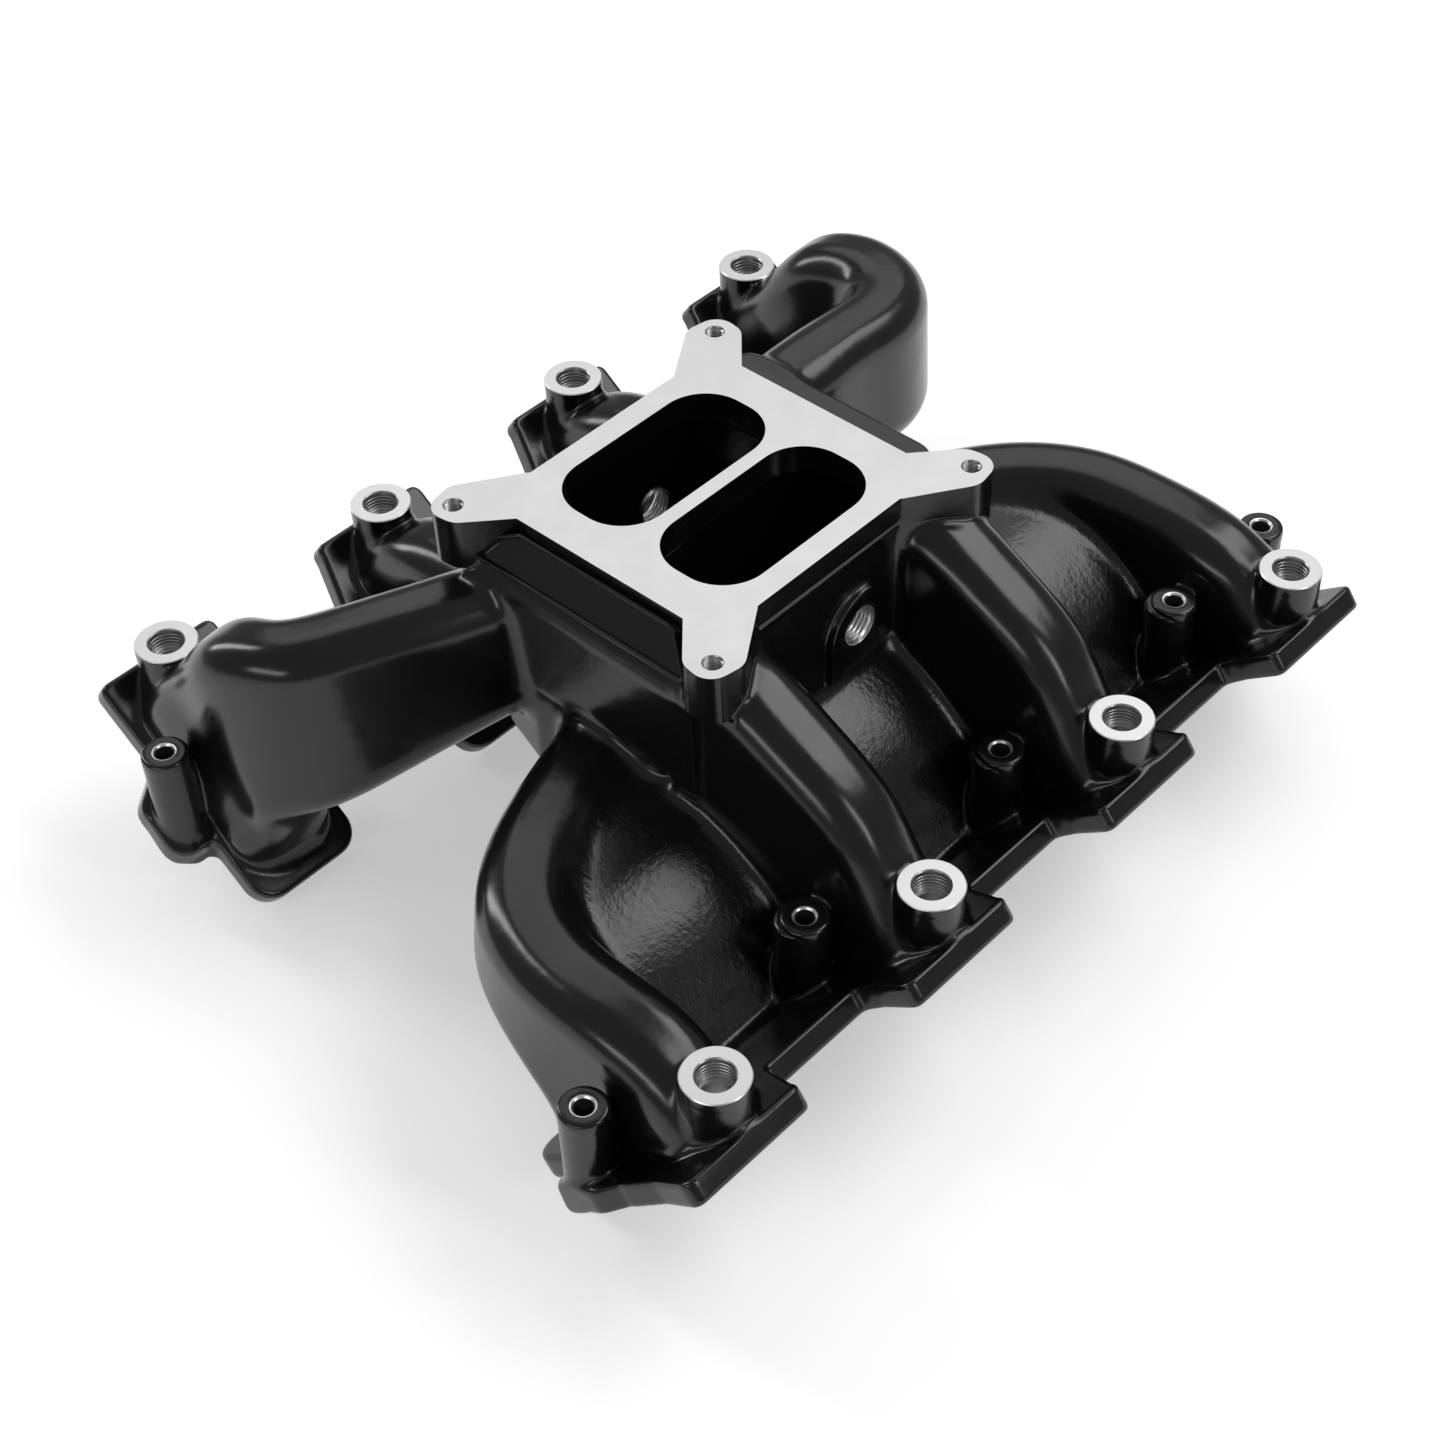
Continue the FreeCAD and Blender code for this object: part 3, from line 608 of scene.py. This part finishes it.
def boss_cap(name):
    """Round-shouldered boss top with a bright chamfer round its hole."""
    low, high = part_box(name)
    centre = centre_of(name)
    radius = (high.y - low.y) / 2
    profile = [(radius - 0.25 * MM, -7 * MM), (radius + 0.05 * MM, -4.5 * MM)]
    bands = [0]
    shoulder = rounded_shoulder(radius - 0.05 * MM, 0, 1.5 * MM)
    profile += shoulder
    bands += [0] * len(shoulder)
    profile += [(BOSS_HOLE_R + 1.0 * MM, 0), (BOSS_HOLE_R + 0.55 * MM, -0.12 * MM),
                (BOSS_HOLE_R, -0.75 * MM), (BOSS_HOLE_R, -7 * MM), (BOSS_HOLE_R, -24 * MM)]
    bands += [0, 1, 1, 2, 0]
    # The hole's bore takes the darkened cut metal: painted shade inside the hole.
    piece = lathe(name + "_cap", profile, bands, (centre.x, centre.y, high.z),
                  [COAT, TURNED, SHADED_CUT_METAL], 72)
    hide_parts(name)


def thread_sleeve(name, radius, pitch, depth, place, turn, material):
    """Inside of a tapped hole: a helical groove from its mouth down along local -Z."""
    around = 72
    along = int(depth / pitch * 10)
    groove = 0.62 * pitch
    points = []
    for row in range(along + 1):
        height = -depth * row / along
        for i in range(around):
            angle = 2 * math.pi * i / around
            phase = (height / pitch + i / around) % 1
            tooth = abs(2 * phase - 1)
            lead_in = max(0.0, 1 + height / (0.8 * pitch))
            inner = radius - 0.05 * MM - groove * tooth * (1 - lead_in)
            points.append((inner * math.cos(angle), inner * math.sin(angle), height))
    faces = []
    for row in range(along):
        for i in range(around):
            j = (i + 1) % around
            faces.append((row * around + i, row * around + j,
                          (row + 1) * around + j, (row + 1) * around + i))
    mesh = bpy.data.meshes.new(name)
    mesh.from_pydata(points, [], faces)
    mesh.polygons.foreach_set("use_smooth", [True] * len(faces))
    mesh.set_sharp_from_angle(angle=math.radians(40))
    mesh.materials.append(material)
    piece = bpy.data.objects.new(name, mesh)
    piece.matrix_world = Matrix.Translation(place) @ turn
    bpy.context.scene.collection.objects.link(piece)
    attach(piece, "root")


def mount(name):
    """A mount of the record, by name."""
    return next(m for m in frame["record"]["mounts"] if m["name"] == name)


def ear_threads():
    pattern = mount("carb_flange")
    top = pattern["pos_m"][2]
    for sx in (-1, 1):
        for sy in (-1, 1):
            x = pattern["pos_m"][0] + sx * pattern["dims"]["spacing_x_mm"] * MM / 2
            y = pattern["pos_m"][1] + sy * pattern["dims"]["spacing_y_mm"] * MM / 2
            name = "ear_thread_%s%s" % ("r" if sx > 0 else "l", "b" if sy > 0 else "f")
            # Tapped holes take the darkened cut metal: painted shade inside the threads.
            thread_sleeve(name, pattern["dims"]["hole_r_mm"] * MM, EAR_PITCH, EAR_TAP_DEPTH,
                          Vector((x, y, top)), Matrix.Identity(4), SHADED_CUT_METAL)


def pipe_threads():
    for side, word in ((1, "right"), (-1, "left")):
        port = mount("pipe_thread_" + word)
        turn = Matrix.Rotation(side * math.pi / 2, 4, "Y")
        thread_sleeve("pipe_thread_" + word, port["dims"]["r_mm"] * MM, PIPE_PITCH,
                      PIPE_DEPTH, Vector(port["pos_m"]), turn, THREAD)


def inset_outline(corners, radii, inset, steps=6):
    """Rounded convex outline, moved inwards by a distance; the same point count every time."""
    count = len(corners)
    points = []
    for i in range(count):
        before = Vector(corners[i - 1])
        corner = Vector(corners[i])
        after = Vector(corners[(i + 1) % count])
        into = (corner - before).normalized()
        away = (after - corner).normalized()
        turn = math.atan2(into.x * away.y - into.y * away.x, into.dot(away))
        reach = radii[i] * math.tan(abs(turn) / 2)
        normal = Vector((-into.y, into.x))
        start = corner - into * reach
        centre = start + normal * radii[i]
        base = math.atan2(-normal.y, -normal.x)
        radius = radii[i] - inset
        for step in range(steps + 1):
            angle = base + turn * step / steps
            points.append((centre.x + radius * math.cos(angle),
                           centre.y + radius * math.sin(angle)))
    return points


def front_panel_plate():
    """Sloping panel below the pad's front edge: a blank sunken field inside a raised rim."""
    origin = Vector((0, -62.6 * MM, -4.5 * MM))
    along = Vector((1, 0, 0))
    down = Vector((0, -10, -12)).normalized()
    out = Vector((0, -12, 10)).normalized()
    corners = [(-69 * MM, 16.6 * MM), (54 * MM, 16.6 * MM), (39 * MM, 0.3 * MM),
               (-39 * MM, 0.6 * MM)]
    corners = [(x, -d) for x, d in corners]
    radii = [1.5 * MM, 1.5 * MM, 6 * MM, 6 * MM]
    rim = [(-2.0, -9.0), (-0.6, 0.2), (-0.2, 1.1), (0.2, 1.45), (0.8, 1.45), (1.2, 1.1),
           (1.45, 0.2), (1.45, -0.6), (1.45, -0.9)]
    points = []
    for inset, height in rim:
        for x, t in inset_outline(corners, radii, inset * MM):
            points.append(origin + along * x - down * t + out * height * MM)
    ring = len(points) // len(rim)
    faces = []
    for row in range(len(rim) - 1):
        for i in range(ring):
            j = (i + 1) % ring
            faces.append((row * ring + i, row * ring + j,
                          (row + 1) * ring + j, (row + 1) * ring + i))
    faces.append(tuple((len(rim) - 1) * ring + i for i in range(ring)))
    mesh = bpy.data.meshes.new("front_panel_plate")
    mesh.from_pydata(points, [], faces)
    mesh.polygons.foreach_set("use_smooth", [True] * len(faces))
    mesh.set_sharp_from_angle(angle=math.radians(50))
    mesh.materials.append(COAT)
    piece = bpy.data.objects.new("front_panel_plate", mesh)
    bpy.context.scene.collection.objects.link(piece)
    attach(piece, "root")


def finish_pad():
    """Milled top face and black sides on the pad's own CAD mesh."""
    pad = NODES["carb_pad"]
    pad.data.materials.clear()
    pad.data.materials.append(COAT)
    pad.data.materials.append(MILLED)
    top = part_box("carb_pad")[1].z
    slots = [1 if face.normal.z > 0.99 and face.center.z > top - 0.1 * MM else 0
             for face in pad.data.polygons]
    pad.data.polygons.foreach_set("material_index", slots)


def finish_seals():
    for name in SEALS:
        NODES[name].data.materials.clear()
        NODES[name].data.materials.append(RUBBER)


# ---------------------------------------------------------------- stage

def add_floor():
    low = CAD_BOX[0]
    bpy.ops.mesh.primitive_plane_add(size=12, location=(0, 0, low[2]))
    floor = bpy.context.object
    floor.name = "floor"
    floor.data.materials.append(paper_floor())


def add_light(name, place, target, size, power):
    light = bpy.data.lights.new(name, "AREA")
    light.shape = "RECTANGLE"
    light.size = size[0]
    light.size_y = size[1]
    light.energy = power
    lamp = bpy.data.objects.new(name, light)
    lamp.location = place
    lamp.rotation_euler = (Vector(target) - Vector(place)).to_track_quat("-Z", "Y").to_euler()
    bpy.context.scene.collection.objects.link(lamp)


def add_lights():
    """Big soft boxes: (name, place, size, brightness seen in a mirror)."""
    centre = (0, 0, -0.05)
    boxes = [
        ("key_behind", (0.45, 1.0, 1.35), (1.3, 0.8), 3.4),
        ("top_left", (-0.95, 0.95, 1.25), (1.5, 1.1), 0.86),
        ("left_strip", (-1.3, -0.3, 0.7), (0.25, 1.1), 6.5),
        ("right_strip", (1.5, 0.2, 0.8), (0.25, 1.0), 5.0),
        ("front_low", (0.2, -1.6, 0.7), (1.2, 0.25), 4.0),
    ]
    for name, place, size, brightness in boxes:
        add_light(name, place, centre, size, brightness * math.pi * size[0] * size[1])
    world = bpy.data.worlds.new("soft_room")
    world.use_nodes = True
    background = world.node_tree.nodes["Background"]
    background.inputs["Color"].default_value = (1, 1, 1, 1)
    background.inputs["Strength"].default_value = 0.25
    bpy.context.scene.world = world


def add_camera():
    a, e, c = CAMERA_AZIMUTH, CAMERA_ELEVATION, CAMERA_ROLL
    back = Vector((math.sin(a) * math.cos(e), -math.cos(a) * math.cos(e), math.sin(e)))
    level = Vector((math.cos(a), math.sin(a), 0))
    rise = back.cross(level)
    right = level * math.cos(c) + rise * math.sin(c)
    up = rise * math.cos(c) - level * math.sin(c)
    camera = bpy.data.cameras.new("camera")
    camera.lens = CAMERA_LENS
    camera.sensor_width = 36
    camera.shift_x, camera.shift_y = CAMERA_SHIFT
    camera.clip_start = 0.05
    holder = bpy.data.objects.new("camera", camera)
    holder.matrix_world = Matrix((
        (right.x, up.x, back.x, CAMERA_PLACE.x),
        (right.y, up.y, back.y, CAMERA_PLACE.y),
        (right.z, up.z, back.z, CAMERA_PLACE.z),
        (0, 0, 0, 1)))
    bpy.context.scene.collection.objects.link(holder)
    bpy.context.scene.camera = holder


skin_pieces(build_casting())
for bung in BUNGS:
    bung_ring(bung)
for boss in BOSSES:
    boss_cap(boss)
front_panel_plate()
finish_pad()
finish_seals()
ear_threads()
pipe_threads()
add_floor()
add_lights()
add_camera()
bpy.context.scene.view_settings.view_transform = "Standard"

bpy.context.view_layer.update()
